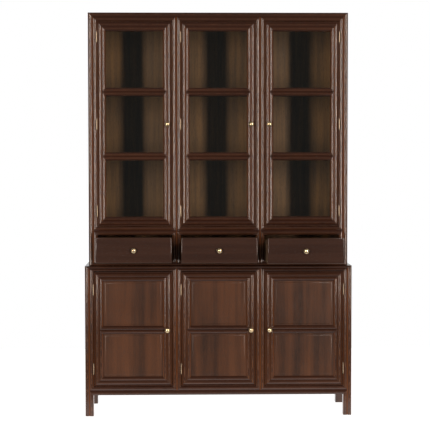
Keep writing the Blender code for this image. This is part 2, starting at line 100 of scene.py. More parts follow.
# %% A socket that Python's signs work on
class Wire:
    """An output socket, with the signs that add Math nodes."""

    def __init__(self, finish, socket):
        self.finish = finish
        self.socket = socket

    def math(self, operation, *values):
        inputs = dict(enumerate(values))
        return self.finish.add("ShaderNodeMath", {"operation": operation}, inputs).out(0)

    def __add__(self, other):
        return self.math("ADD", self, other)

    def __sub__(self, other):
        return self.math("SUBTRACT", self, other)

    def __rsub__(self, other):
        return self.math("SUBTRACT", other, self)

    def __mul__(self, other):
        return self.math("MULTIPLY", self, other)

    def between(self, low, high):
        """0 at or below low, 1 at or above high, and smooth from one to the other."""
        settings = {"interpolation_type": "SMOOTHSTEP"}
        values = {"Value": self, "From Min": low, "From Max": high}
        return self.finish.add("ShaderNodeMapRange", settings, values).out("Result")

    __radd__ = __add__
    __rmul__ = __mul__


class Added:
    """A node that was just added, whose outputs come by name or number."""

    def __init__(self, finish, node):
        self.finish = finish
        self.node = node

    def out(self, name):
        return Wire(self.finish, self.node.outputs[name])


class Finish:
    """The node tree of a material or of a world."""

    def __init__(self, owner):
        self.owner = owner
        owner.use_nodes = True
        self.tree = owner.node_tree
        self.tree.nodes.clear()

    def add(self, kind, settings=None, inputs=None):
        node = self.tree.nodes.new(kind)
        for name, value in (settings or {}).items():
            setattr(node, name, value)
        for name, value in (inputs or {}).items():
            if isinstance(value, Wire):
                self.tree.links.new(value.socket, node.inputs[name])
            else:
                node.inputs[name].default_value = value
        return Added(self, node)

    def mix(self, factor, first, second):
        """A mix of two colours, each a link or a plain colour."""
        settings = {"data_type": "RGBA", "blend_type": "MIX"}
        inputs = {0: factor, 6: first, 7: second}
        return self.add("ShaderNodeMix", settings, inputs).out(2)

    def noise(self, vector, scale, detail, roughness):
        inputs = {"Vector": vector, "Scale": scale, "Detail": detail, "Roughness": roughness}
        return self.add("ShaderNodeTexNoise", None, inputs).out("Fac")

    def show(self, shader, output="ShaderNodeOutputMaterial"):
        self.add(output, None, {"Surface": shader})
        return self.owner


# %% [markdown]
# ## The woods
# The cabinet is stained hardwood under a satin varnish. What tells such wood from brown paint is
# its grain: broad figure that drifts over the board, fine fibres along it, and short dark pores
# that the varnish doesn't quite fill. All three are noises read from the piece's own coordinates
# and drawn out along the grain. A picture of a plank, wrapped on, would be quicker, but a computed
# grain never repeats, has no seams, and turns with one number. Along the crowns of the mouldings
# and on eased edges a lighter, warmer colour is painted: partly wear where the stain is rubbed
# thin, and partly a painted highlight that warms the lamps' lines on the beads. In the hollows a
# lighter orange is painted as a painted glow, for light bounced between the beads. Both follow an
# attribute named "crown" that the meshes carry: 1 on a crown or an eased edge, 0 on a flat, and -1
# in a hollow.

# %% One function for every wood
GRAIN_TURN = {"z": (0.0, 0.0, 0.0), "x": (0.0, math.pi / 2, 0.0), "y": (math.pi / 2, 0.0, 0.0)}
STRETCH = 0.045
FIGURE_SCALE = 24.0
FIBRE_SCALE = 620.0
PORE_SCALE = 950.0
DRIFT_SCALE = 3.1
WEAR_AND_HIGHLIGHT_SCALE = 46.0
SHEEN_SCALE = 9.0
SATIN = 0.11
PORE_DARKNESS = 0.35


def colour(red, green, blue):
    return (red, green, blue, 1.0)


def wood(name, along, deep, light, wear_and_highlight, hollow_glow, satin=SATIN, figure_scale=FIGURE_SCALE):
    """Stained wood with its grain along x, y or z."""
    finish = Finish(bpy.data.materials.new(name))
    place = finish.add("ShaderNodeTexCoord").out("Object")
    turned = finish.add("ShaderNodeMapping", {"vector_type": "TEXTURE"},
                        {"Vector": place, "Rotation": GRAIN_TURN[along]}).out("Vector")
    drawn = finish.add("ShaderNodeMapping", None,
                       {"Vector": turned, "Scale": (1.0, 1.0, STRETCH)}).out("Vector")
    figure = finish.noise(drawn, figure_scale, 4.0, 0.6)
    fibres = finish.noise(drawn, FIBRE_SCALE, 2.0, 0.5)
    pores = finish.noise(drawn, PORE_SCALE, 1.0, 0.4).between(0.60, 0.72)
    drift = finish.noise(place, DRIFT_SCALE, 2.0, 0.5).between(0.3, 0.7)
    crown = finish.add("ShaderNodeAttribute", {"attribute_name": "crown"}).out("Fac")
    # Crowns and eased edges get a lighter, warmer colour: partly wear, partly a painted highlight
    # that warms the lamps' lines on the beads.
    wear_and_highlight_breaks = finish.noise(place, WEAR_AND_HIGHLIGHT_SCALE, 4.0, 0.65).between(0.40, 0.62)
    wear_and_highlight_mask = crown.between(0.55, 1.0) * wear_and_highlight_breaks
    # Hollows get a lighter orange colour: a painted glow for light bounced between the beads.
    hollow_glow_mask = (crown * -1.0).between(0.0, 0.7)
    tone = figure.between(0.32, 0.70) * 0.7 + drift * 0.3
    stain = finish.mix(tone, deep, light)
    stain = finish.mix(fibres.between(0.35, 0.75) * 0.35, stain, light)
    # Painted glow mixed in along the hollows.
    stain = finish.mix(hollow_glow_mask * 0.8, stain, hollow_glow)
    # Painted highlight and wear mixed in on the crowns.
    stain = finish.mix(wear_and_highlight_mask * 0.55, stain, wear_and_highlight)
    stain = finish.mix(pores * 0.6, stain, colour(*(c * PORE_DARKNESS for c in deep[:3])))
    sheen_breaks = finish.noise(place, SHEEN_SCALE, 3.0, 0.6)
    roughness = satin + sheen_breaks * 0.06 + pores * 0.18 - wear_and_highlight_mask * 0.03
    relief = fibres * 0.35 - pores * 0.4 + figure * 0.3
    bump = finish.add("ShaderNodeBump", None,
                      {"Height": relief, "Strength": 0.06, "Distance": 0.0006}).out("Normal")
    shader = finish.add("ShaderNodeBsdfPrincipled", None, {
        "Base Color": stain, "Roughness": roughness, "Normal": bump,
        "Coat Weight": 0.10, "Coat Roughness": 0.12, "IOR": 1.50,
    })
    return finish.show(shader.out("BSDF"))


# %% [markdown]
# ## The colours of the woods
# One function serves every wood of the cabinet, so only the colours, the way of the grain and the
# sheen differ. Upright and level bars need their own materials, because the grain turns with them.
# The level ones also get a dimmer painted highlight and a darker painted glow, a shaded copy,
# because the upright lamps light level beads less. The panels show the broadest figure. The wood
# inside was never varnished as dark, so it is warmer and duller. Mixing all of them from one node
# group would save nodes, but plain materials are easier to read.

# %% Woods of the frames, panels, drawers and inside
DEEP = colour(0.026, 0.0100, 0.0056)
LIGHT = colour(0.056, 0.0222, 0.0112)
# Crown colours are partly wear and partly painted highlight; hollow colours are a painted glow.
# The level copies are dimmer, as painted shade, since the upright lamps light level beads less.
WEAR_AND_HIGHLIGHT = colour(0.230, 0.095, 0.036)
LEVEL_WEAR_AND_HIGHLIGHT = colour(0.090, 0.034, 0.018)
PAINTED_GLOW = colour(0.130, 0.040, 0.0090)
LEVEL_PAINTED_GLOW = colour(0.034, 0.0110, 0.0060)
upright = wood("frame_wood_upright", "z", DEEP, LIGHT, WEAR_AND_HIGHLIGHT, PAINTED_GLOW)
level = wood("frame_wood_level", "x", DEEP, LIGHT, LEVEL_WEAR_AND_HIGHLIGHT, LEVEL_PAINTED_GLOW)
deep_level = wood("frame_wood_deep", "y", DEEP, LIGHT, LEVEL_WEAR_AND_HIGHLIGHT, LEVEL_PAINTED_GLOW)
# The panel's third colour paints a highlight line on its field's rounded edge.
panel = wood("panel_wood", "z", colour(0.018, 0.0076, 0.0042), colour(0.094, 0.0345, 0.0130),
             colour(0.14, 0.065, 0.035), PAINTED_GLOW, 0.26, 17.0)
drawer_face = wood("drawer_face_wood", "x", colour(0.028, 0.0122, 0.0080),
                   colour(0.049, 0.0222, 0.0140), WEAR_AND_HIGHLIGHT, PAINTED_GLOW)
drawer_side = wood("drawer_box_wood", "y", colour(0.10, 0.058, 0.030),
                   colour(0.19, 0.115, 0.062), colour(0.25, 0.16, 0.09), PAINTED_GLOW, 0.5)
inside_upright = wood("inside_wood_upright", "z", colour(0.058, 0.0270, 0.0076),
                      colour(0.220, 0.102, 0.0245), WEAR_AND_HIGHLIGHT, PAINTED_GLOW, 0.5, 34.0)
inside_level = wood("inside_wood_level", "x", colour(0.045, 0.0220, 0.0085),
                    colour(0.095, 0.050, 0.0200), LEVEL_WEAR_AND_HIGHLIGHT, PAINTED_GLOW, 0.48)
print("woods:", ", ".join(m.name for m in bpy.data.materials if "wood" in m.name))

# %% [markdown]
# ## Brass and glass
# The knobs are polished brass that hands keep bright on the crown, with brown tarnish towards the
# stem, and the hinges are the same brass, duller. The glass is thin and flat: light should pass it
# unbent and only a little should be mirrored, more at a glancing angle. A solid glass shader would
# keep the lamps out of the cabinet, so a clear shader and a mirror are mixed by the Fresnel law.

# %% Brass and glass
def brass(name, bright, tarnish, polish):
    finish = Finish(bpy.data.materials.new(name))
    place = finish.add("ShaderNodeTexCoord").out("Object")
    crown = finish.add("ShaderNodeAttribute", {"attribute_name": "crown"}).out("Fac")
    clouds = finish.noise(place, 160.0, 4.0, 0.6)
    dull = (clouds.between(0.35, 0.75) * 0.6 + (1.0 - crown.between(0.0, 0.8)) * 0.35)
    tint = finish.mix(dull, bright, tarnish)
    scratches = finish.noise(place, 1900.0, 2.0, 0.5)
    roughness = polish + dull * 0.16 + scratches * 0.05
    bump = finish.add("ShaderNodeBump", None,
                      {"Height": scratches, "Strength": 0.06, "Distance": 0.0002}).out("Normal")
    shader = finish.add("ShaderNodeBsdfPrincipled", None, {
        "Base Color": tint, "Roughness": roughness, "Metallic": 1.0, "Normal": bump,
    })
    return finish.show(shader.out("BSDF"))


def clear_glass(name):
    finish = Finish(bpy.data.materials.new(name))
    place = finish.add("ShaderNodeTexCoord").out("Object")
    waves = finish.noise(place, 5.0, 1.0, 0.4)
    smears = finish.noise(place, 11.0, 5.0, 0.7)
    bump = finish.add("ShaderNodeBump", None,
                      {"Height": waves, "Strength": 0.04, "Distance": 0.002}).out("Normal")
    mirrored = finish.add("ShaderNodeFresnel", None, {"IOR": 1.5}).out("Fac")
    clear = finish.add("ShaderNodeBsdfTransparent", None, {"Color": colour(0.97, 0.985, 0.975)})
    gloss = finish.add("ShaderNodeBsdfPrincipled", None, {
        "Base Color": colour(0.9, 0.95, 0.92), "Metallic": 1.0,
        "Roughness": smears * 0.06 + 0.02, "Normal": bump,
    })
    both = finish.add("ShaderNodeMixShader", None,
                      {0: mirrored * 0.75, 1: clear.out("BSDF"), 2: gloss.out("BSDF")})
    return finish.show(both.out("Shader"))


knob_brass = brass("knob_brass", colour(0.92, 0.74, 0.46), colour(0.50, 0.33, 0.15), 0.20)
hinge_brass = brass("hinge_brass", colour(0.42, 0.33, 0.23), colour(0.17, 0.12, 0.075), 0.30)
glass = clear_glass("glass")
print("metal and glass:", knob_brass.name, hinge_brass.name, glass.name)

# %% [markdown]
# ## From a bmesh to a piece
# Every piece ends the same way: its faces point outwards, it is shaded smooth with crisp corners,
# it gets its materials, it is hung on the empty of the body it rides on, and the frame's nodes
# that it stands for are hidden. Corners could be marked crisp one by one, but an angle finds
# nearly all of them. It would also soften the flat mitres, so the edges that a shape has already
# marked are kept. One function does all this, so no piece can miss a step.

# %% Finish a piece
CRISP = 32
TURNED_CRISP = 40


def make_piece(name, shape, materials, body, stands_for=(), crisp=CRISP):
    bmesh.ops.recalc_face_normals(shape, faces=shape.faces)
    mesh = bpy.data.meshes.new(name)
    shape.to_mesh(mesh)
    shape.free()
    mitres = [edge for edge in mesh.edges if edge.use_edge_sharp]
    mesh.shade_smooth()
    mesh.set_sharp_from_angle(angle=math.radians(crisp))
    for edge in mitres:
        edge.use_edge_sharp = True
    for material in materials:
        mesh.materials.append(material)
    piece = bpy.data.objects.new(name, mesh)
    bpy.context.scene.collection.objects.link(piece)
    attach(piece, body)
    if stands_for:
        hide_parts(*stands_for)
    return piece


# %% [markdown]
# ## Boards
# Shelves, box sides and backs are sawn boards. A cube with sharp edges never looks like wood,
# because a real arris is always eased with a stroke of sandpaper and catches the light. So each
# board is a cube whose edges are bevelled, and the middle of each bevel gets crown 1, which the
# woods paint lighter: partly wear, partly a painted highlight.
# Smooth shading would bend the light over the flats beside a bevel too, so the bevel's borders are
# kept crisp.

# %% A board with eased edges
EASING = 0.0012
EASE_SEGMENTS = 3


def add_box(shape, low, high):
    low = Vector(low)
    high = Vector(high)
    made = bmesh.ops.create_cube(shape, size=1.0)
    place = Matrix.Translation((low + high) / 2) @ Matrix.Diagonal((*(high - low), 1.0))
    bmesh.ops.transform(shape, matrix=place, verts=made["verts"])
    return made["verts"]


def ease(shape, edges, width):
    """Round edges, keep the flats flat, and mark the roundings as wear and painted highlight."""
    made = bmesh.ops.bevel(shape, geom=edges, offset=width, segments=EASE_SEGMENTS, profile=0.5,
                           affect="EDGES", material=-1, clamp_overlap=True)
    crown = shape.verts.layers.float.get("crown") or shape.verts.layers.float.new("crown")
    rounded = set(made["faces"])
    for edge in {edge for face in rounded for edge in face.edges}:
        edge.smooth = all(face in rounded for face in edge.link_faces)
    for vert in made["verts"]:
        if vert.is_valid and all(face in rounded for face in vert.link_faces):
            vert[crown] = 1.0


def board(name, low, high, material, body, stands_for, easing=EASING):
    shape = bmesh.new()
    add_box(shape, low, high)
    ease(shape, shape.edges[:], easing)
    return make_piece(name, shape, [material], body, stands_for)


# %% [markdown]
# ## Mouldings that ring an opening
# Every opening of this cabinet is ringed by a rounded bead, and the beads meet at its corners in
# mitres. A joiner runs the bead along a plain bar and cuts each end at 45 degrees. Sweeping a
# profile along every bar and trimming the ends would copy that, but it takes many pieces and a
# careful trim. Insetting a flat face does it in one go: each inset steps inwards by a point of the
# profile, corner lines stay at 45 degrees by themselves, and a bar between two openings gets both
# their beads, with the arrow-shaped joints that real glazing bars have.

# %% Profiles of the mouldings
BEAD_ANGLE = math.radians(52)
BEAD_STEPS = 8


def bead(start, width):
    """(distance, height) points over a rounded bead, whose crown stands at height 0."""
    radius = width / 2 / math.sin(BEAD_ANGLE)
    points = []
    for step in range(BEAD_STEPS + 1):
        angle = BEAD_ANGLE * (2 * step / BEAD_STEPS - 1)
        across = start + width / 2 + radius * math.sin(angle)
        points.append((across, radius * (math.cos(angle) - 1)))
    return points


def width_of(profile):
    return profile[-1][0] - profile[0][0]


POST_RING = 0.023
HOLLOW_FLAT = 0.0012
# How fast crown falls from the front into a hollow, which widens the painted hollow glow.
HOLLOW_SPREAD = 0.6
post_bead = bead(0.0, POST_RING - HOLLOW_FLAT)
groove = post_bead[0][1]
post_outer = post_bead + [(POST_RING, groove)]
post_inner = [(0.0, groove)] + bead(HOLLOW_FLAT, POST_RING - HOLLOW_FLAT)
print(f"post bead {1000 * width_of(post_bead):.1f} mm wide, {-1000 * groove:.1f} mm deep")

# %% [markdown]
# ## A frame from its openings
# The inset gives every bar just the width of its two mouldings, and real bars are often wider or
# narrower. Cutting each bar to its own width first would break the even insets. So the frame is
# laid out on a plan whose bars have their mouldings' widths, and when the insets are done its
# points slide along x and z to where the real edges are. Sides and a back close it into a solid.

# %% Build a frame from its openings
TINY = 1e-6
ON_PLANE = 1e-7
SAME_PLACE = 1e-5
SIDE_DEPTH = 1e-4


def follow(shape, faces, profile):
    """Inset faces again and again, so that a moulding of this profile rings each of them."""
    for (near, low), (far, high) in zip(profile, profile[1:]):
        bmesh.ops.inset_individual(shape, faces=faces, thickness=far - near, depth=high - low,
                                   use_even_offset=True)


def nominal(stops, outer, inner):
    """The same bars and openings, with every bar as wide as its two mouldings."""
    places = [stops[0]]
    last = len(stops) - 2
    for index, (near, far) in enumerate(zip(stops, stops[1:])):
        if index % 2:
            places.append(places[-1] + far - near)
        else:
            edge_bar = index in (0, last)
            places.append(places[-1] + inner + (outer if edge_bar else inner))
    return places


def cut_cells(shape, axis, places, above=None):
    """Cut the marked faces along the middles of the bars that lie across one axis."""
    for low, high in zip(places[2:-2:2], places[3:-2:2]):
        normal = Vector((1.0, 0.0, 0.0)) if axis == 0 else Vector((0.0, 0.0, 1.0))
        faces = [f for f in shape.faces if f.material_index == 1]
        if above is not None:
            faces = [f for f in faces if f.calc_center_median().z > above]
        parts = {part for face in faces for part in (face, *face.edges, *face.verts)}
        bmesh.ops.bisect_plane(shape, geom=list(parts), dist=TINY,
                               plane_co=normal * (low + high) / 2, plane_no=normal)


def upright_face(shape, low_x, high_x, low_z, high_z, y):
    """One rectangle that stands at depth y. Returns its corners."""
    made = bmesh.ops.create_grid(shape, x_segments=1, y_segments=1, size=0.5)
    place = Matrix.Translation(((low_x + high_x) / 2, y, (low_z + high_z) / 2))
    place = place @ Matrix.Rotation(math.pi / 2, 4, "X")
    place = place @ Matrix.Diagonal((high_x - low_x, high_z - low_z, 1.0, 1.0))
    bmesh.ops.transform(shape, matrix=place, verts=made["verts"])
    return made["verts"]


def push_back(shape, edges, y):
    """Extrude edges straight back to a plane, and return the new edges there."""
    made = bmesh.ops.extrude_edge_only(shape, edges=edges)["geom"]
    for vert in made:
        if isinstance(vert, bmesh.types.BMVert):
            vert.co.y = y
    return [edge for edge in made if isinstance(edge, bmesh.types.BMEdge)
            and all(abs(vert.co.y - y) < ON_PLANE for vert in edge.verts)]


def moulded_frame(xs, zs, outer, inner, thickness, merge_below=None, rebate=None):
    """A moulded frame in the plane y = 0, facing -y.

    xs and zs list the edges of its bars in order. merge_below is the z under which one opening
    runs the whole width. rebate is (how far it reaches under the bars, how deep it starts).
    """
    outer_width = width_of(outer)
    inner_width = width_of(inner)
    plan_x = nominal(xs, outer_width, inner_width)
    plan_z = nominal(zs, outer_width, inner_width)
    shape = bmesh.new()
    upright_face(shape, plan_x[0], plan_x[-1], plan_z[0], plan_z[-1], -outer[0][1])
    field = shape.faces[:]
    follow(shape, field, outer)
    field[0].material_index = 1
    cut_cells(shape, 2, plan_z)
    limit = None if merge_below is None else float(np.interp(merge_below, zs, plan_z))
    cut_cells(shape, 0, plan_x, limit)
    cells = [face for face in shape.faces if face.material_index == 1]
    follow(shape, cells, inner)
    bmesh.ops.delete(shape, geom=cells, context="FACES_ONLY")
    loose = [edge for edge in shape.edges if not edge.link_faces]
    bmesh.ops.delete(shape, geom=loose, context="EDGES")
    # crown is 1 at the front and -1 deep in a hollow: painted highlight and wear on high values,
    # painted glow on low ones.
    crown = shape.verts.layers.float.new("crown")
    for vert in shape.verts:
        vert[crown] = 1.0 - 2.0 * min(1.0, max(0.0, vert.co.y / -groove)) ** HOLLOW_SPREAD
        vert.co.x = float(np.interp(vert.co.x, plan_x, xs))
        vert.co.z = float(np.interp(vert.co.z, plan_z, zs))
    close_back(shape, xs, zs, thickness, rebate)
    for vert in shape.verts:
        if vert.co.y > -groove + SIDE_DEPTH:
            vert[crown] = 0.0
    run_grain(shape)
    return shape


def close_back(shape, xs, zs, thickness, rebate):
    """Give a moulded sheet its sides, its rebate and its back."""
    rims = [edge for edge in shape.edges if edge.is_boundary]
    outline = [edge for edge in rims if on_outline(edge, xs, zs)]
    openings = [edge for edge in rims if not on_outline(edge, xs, zs)]
    back = push_back(shape, outline, thickness)
    if rebate:
        reach, depth = rebate
        corners = upright_face(shape, xs[1] - reach, xs[-2] + reach,
                               zs[1] - reach, zs[-2] + reach, depth)
        lid = corners[0].link_faces[0]
        ring = lid.edges[:]
        bmesh.ops.delete(shape, geom=[lid], context="FACES_ONLY")
        floor = push_back(shape, openings, depth)
        bmesh.ops.triangle_fill(shape, edges=floor + ring, use_beauty=True)
        back += push_back(shape, ring, thickness)
    else:
        back += push_back(shape, openings, thickness)
    bmesh.ops.triangle_fill(shape, edges=back, use_beauty=True)


def on_outline(edge, xs, zs):
    """True for an edge that lies on the outer rectangle."""
    a, b = (vert.co for vert in edge.verts)
    for stop in (xs[0], xs[-1]):
        if abs(a.x - stop) < SAME_PLACE and abs(b.x - stop) < SAME_PLACE:
            return True
    return any(abs(a.z - stop) < SAME_PLACE and abs(b.z - stop) < SAME_PLACE
               for stop in (zs[0], zs[-1]))


def run_grain(shape):
    """Material 0 where a face runs upright and 1 where it runs level, with mitres between."""
    for face in shape.faces:
        longest = max(face.edges, key=lambda edge: edge.calc_length())
        along = longest.verts[1].co - longest.verts[0].co
        face.material_index = int(abs(along.x) > abs(along.z))
    for edge in shape.edges:
        kinds = {face.material_index for face in edge.link_faces}
        edge.smooth = len(kinds) == 1


# %% [markdown]
# ## The face frames
# The posts and rails of the base and of the hutch. The legs' beads run on down to the floor, and
# the gap under the base is ringed like any other opening. Each post and rail could be a piece of
# its own, but then their mitres would have to be fitted, so one frame of openings makes them all.
# The gap is modelled as an opening that goes on below the floor, and what would be underground is
# cut away.

# %% Face frames of the base and the hutch
UNDERGROUND = 0.2
BURIED_BAR = 0.046


def put(shape, x=0.0, y=0.0, z=0.0, turn=0.0):
    """Move a shape to its place, turned about the vertical."""
    place = Matrix.Translation((x, y, z)) @ Matrix.Rotation(turn, 4, "Z")
    bmesh.ops.transform(shape, matrix=place, verts=shape.verts)
    return shape


def base_face():
    zs = (-UNDERGROUND - BURIED_BAR, -UNDERGROUND, *BASE_Z)
    shape = moulded_frame(BASE_X, zs, post_outer, post_inner, FACE, merge_below=BASE_Z[0])
    parts = shape.verts[:] + shape.edges[:] + shape.faces[:]
    cut = bmesh.ops.bisect_plane(shape, geom=parts, dist=TINY, plane_co=(0.0, 0.0, 0.0),
                                 plane_no=(0.0, 0.0, 1.0), clear_inner=True)
    rim = [part for part in cut["geom_cut"] if isinstance(part, bmesh.types.BMEdge)]
    bmesh.ops.triangle_fill(shape, edges=rim, use_beauty=True)
    return put(shape, y=BASE_FRONT)


nodes = ("base_post_left", "base_post_right", "base_end_left", "base_end_right", "base_bottom",
         "base_top")
piece = make_piece("base_face_frame", base_face(), [upright, level], "cabinet",
                   nodes)
print(piece.name, len(piece.data.polygons), "faces")

shape = moulded_frame(HUTCH_X, HUTCH_Z, post_outer, post_inner, FACE)
nodes = ("hutch_end_left", "hutch_end_right", "hutch_divider_left", "hutch_divider_right",
         "hutch_deck", "hutch_top", "drawer_case")
piece = make_piece("hutch_face_frame", put(shape, y=HUTCH_FRONT), [upright, level], "cabinet",
                   nodes)
print(piece.name, len(piece.data.polygons), "faces")

# %% [markdown]
# ## The ends
# Each end is a panel held between stiles and rails, with a small moulding planted round the panel
# to hide its joint. The stiles of the base are its legs, which go on to the floor. Boards make the
# stiles, rails and panel, and the planted moulding is a ring made in the same way as the face
# frames. A single slab with a sunk middle would show the same outline, but its grain would run one
# way over joints where real wood turns.

# %% Panelled ends
PLANTED = 0.012
BASE_PANEL_INSIDE = 0.032
planted_outer = [(0.0, -0.0035), (0.001, -0.0015), (0.004, -0.0006), (0.006, -0.001)]
planted_inner = [(0.0, -0.001), (0.002, -0.003), (0.0040, -0.0045), (0.0055, -0.008),
                 (0.006, -0.0095)]


def panelled_end(label, side, faces, ys, zs, foot, nodes):
    """One end of the base or the hutch.

    faces is (outer face, stile's inner face, panel's inner face), as distances from x = 0.
    ys and zs list the edges of its front stile, panel and back stile, and of its rails.
    """
    outer, stile_inner, panel_inner = faces

    def part(name, material, near, far, y_span, z_span):
        xs = sorted((side * near, side * far))
        board(f"{label}_{name}", (xs[0], y_span[0], z_span[0]), (xs[1], y_span[1], z_span[1]),
              material, "cabinet", nodes)

    part("front_stile", upright, stile_inner, outer, (ys[0], ys[1]), (foot, zs[3]))
    part("back_stile", upright, stile_inner, outer, (ys[2], ys[3]), (foot, zs[3]))
    between = (ys[1] + FIT, ys[2] - FIT)
    part("bottom_rail", deep_level, stile_inner, outer, between, (zs[0], zs[1]))
    part("top_rail", deep_level, stile_inner, outer, between, (zs[2], zs[3]))
    part("panel", upright, panel_inner, outer - END_RECESS, between, (zs[1] + FIT, zs[2] - FIT))
    local = (ys[1], ys[2]) if side > 0 else (-ys[2], -ys[1])
    ring_x = (local[0] + FIT, local[0] + PLANTED, local[1] - PLANTED, local[1] - FIT)
    ring_z = (zs[1] + FIT, zs[1] + PLANTED, zs[2] - PLANTED, zs[2] - FIT)
    ring = moulded_frame(ring_x, ring_z, planted_outer, planted_inner, END_RECESS - FIT)
    put(ring, x=side * outer, turn=side * math.pi / 2)
    make_piece(f"{label}_moulding", ring, [upright, deep_level], "cabinet", nodes)


LEG = base_end_high.x - base_end_low.x
HUTCH_POST = hutch_end_high.x - hutch_end_low.x
for side, side_name in ((-1, "left"), (1, "right")):
    panelled_end(f"base_end_{side_name}", side,
                 (BASE_X[-1], BASE_X[-2] + FIT, BASE_X[-1] - BASE_PANEL_INSIDE),
                 (BASE_FRONT + FACE + FIT, BASE_FRONT + LEG, BACK - LEG, BACK),
                 (BASE_Z[0], BASE_Z[1], BASE_Z[3] - LEG, BASE_Z[3]), 0.0,
                 (f"base_end_{side_name}",))
    panelled_end(f"hutch_end_{side_name}", side,
                 (HUTCH_X[-1], HUTCH_X[-1] - END_BOARD, HUTCH_X[-1] - END_BOARD),
                 (HUTCH_FRONT + FACE + FIT, HUTCH_FRONT + HUTCH_POST, BACK - HUTCH_POST, BACK),
                 (HUTCH_Z[0], HUTCH_Z[0] + HUTCH_POST, HUTCH_Z[-1] - HUTCH_POST, HUTCH_Z[-1]),
                 HUTCH_Z[0], (f"hutch_end_{side_name}",))
print("ends done")

# %% [markdown]
# ## Boards inside
# Behind the face frames are the boards that carry them: the tops and floors, the walls between the
# bays and the drawers, and the six shelves. One hollowed block would be less work, but separate
# boards keep a fine shadow where they meet, as joined wood has. Most are only seen through the
# glass or past an open door, so the eased board is all the detail that they need. The two back
# panels are right as they are in the frame, and only get their wood.

# %% Floors, tops, walls and shelves
SHELF_EASING = 0.003
BASE_INNER = BASE_X[-2] - FIT
HUTCH_INNER = HUTCH_X[-1] - END_BOARD - FIT
base_y = (BASE_FRONT + FACE + FIT, BACK_FACE - FIT)
hutch_y = (HUTCH_FRONT + FACE + FIT, BACK_FACE - FIT)


def flat_board(name, half_width, y_span, z_span, node):
    board(name, (-half_width, y_span[0], z_span[0]), (half_width, y_span[1], z_span[1]),
          level, "cabinet", (node,))


flat_board("base_top_board", BASE_INNER, base_y, (BASE_Z[2], BASE_Z[3]), "base_top")
flat_board("base_bottom_board", BASE_INNER, base_y, (BASE_Z[1] - BOARD, BASE_Z[1]), "base_bottom")
flat_board("hutch_floor", HUTCH_INNER, hutch_y, (HUTCH_Z[0], DRAWER_FLOOR), "drawer_case")
flat_board("deck_board", HUTCH_INNER, hutch_y, (HUTCH_Z[3] - BOARD, HUTCH_Z[3]), "hutch_deck")
flat_board("top_board", HUTCH_INNER, hutch_y, (HUTCH_Z[5] - BOARD, HUTCH_Z[5]), "hutch_top")
walls = ((HUTCH_X[0] + END_BOARD + FIT, HUTCH_X[1]), HUTCH_X[2:4], HUTCH_X[4:6],
         (HUTCH_X[-2], HUTCH_INNER))
for index, (near, far) in enumerate(walls):
    board(f"drawer_wall_{index + 1}", (near, hutch_y[0], DRAWER_FLOOR + FIT),
          (far, hutch_y[1], HUTCH_Z[3] - BOARD - FIT), deep_level, "cabinet",
          ("drawer_case",))
for side, side_name in ((-1, "left"), (1, "right")):
    middle = side * (divider_low.x + divider_high.x) / 2
    board(f"divider_board_{side_name}", (middle - BOARD / 2, hutch_y[0], HUTCH_Z[3] + FIT),
          (middle + BOARD / 2, hutch_y[1], HUTCH_Z[5] - BOARD - FIT), upright, "cabinet",
          (f"hutch_divider_{side_name}",))
for height in ("lower", "upper"):
    for bay in BAYS:
        node = f"shelf_{height}_{bay}"
        low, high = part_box(node)
        board(f"{node}_board", low, high, inside_level, "cabinet", (node,),
              easing=SHELF_EASING)
for node in ("base_back", "hutch_back"):
    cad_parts[node].data.materials.clear()
    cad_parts[node].data.materials.append(inside_upright)
print("boards done")

# %% [markdown]
# ## Doors
# A glazed door is one frame with two glazing bars, a sheet of glass in its rebate and a bead that
# holds the glass in from behind. A base door is the same frame with one bar and a wooden panel.
# The frame's moulding has two parts: from the outer edge a thin flat, a quirk and a broad bead,
# and then the inner bead that rings each pane and forms the bars. Only the profiles differ between
# the doors, so one function makes both. Bars planted on a plain frame would be simpler, but a
# worked frame has its beads running through the joints, and that is what shows first on this
# cabinet.

# %% Profiles and frames of the doors
DOOR_RING = 0.023
GLAZED_RIM = 0.026
PANEL_RIM = 0.031
QUIRK = -0.0050
STICKING = 0.0045
GLASS_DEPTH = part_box("glass_left")[0].y - HUTCH_FRONT
PANEL_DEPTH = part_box("door_panel_left")[0].y - BASE_FRONT
REBATE_REACH = 0.008
FILLET = 0.0048


def door_outer(width):
    """An eased corner, a flat fillet, the quirk and a broad bead that ends in a groove."""
    broad = bead(FILLET + 0.0020, width - FILLET - 0.0036)
    return [(0.0, -0.0022), (0.0012, -0.0010), (FILLET, -0.0010), (FILLET + 0.0006, QUIRK),
            (broad[0][0] - 0.0002, QUIRK), *broad, (width, broad[-1][1])]


def door_inner(start_height, depth):
    """The bead that rings a pane, and the sticking that slopes from it to the glass or panel."""
    ring = bead(0.0008, DOOR_RING - STICKING - 0.0014)
    last = ring[-1][0]
    return [(0.0, start_height), *ring, (last + 0.0012, ring[-1][1]),
            (DOOR_RING - 0.0004, -depth + 0.0012), (DOOR_RING, -depth + FIT)]


def door_frame(name, bars, sheet, front, outer_width, depth, body, node):
    """A door's frame round the sheet that it holds, with a bar centred on each height in bars."""
    low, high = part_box(node)
    sheet_low, sheet_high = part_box(sheet)
    reach = REBATE_REACH - FIT
    xs = (low.x, sheet_low.x + reach, sheet_high.x - reach, high.x)
    edges = [edge for bar in bars for edge in (bar - DOOR_RING, bar + DOOR_RING)]
    zs = (low.z, sheet_low.z + reach, *edges, sheet_high.z - reach, high.z)
    outer = door_outer(outer_width)
    inner = door_inner(outer[-1][1], depth)
    shape = moulded_frame(xs, zs, outer, inner, FACE, rebate=(REBATE_REACH, depth - FIT))
    return make_piece(name, put(shape, y=front), [upright, level], body, (node,))


def middle_of(node):
    low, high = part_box(node)
    return (low + high) / 2


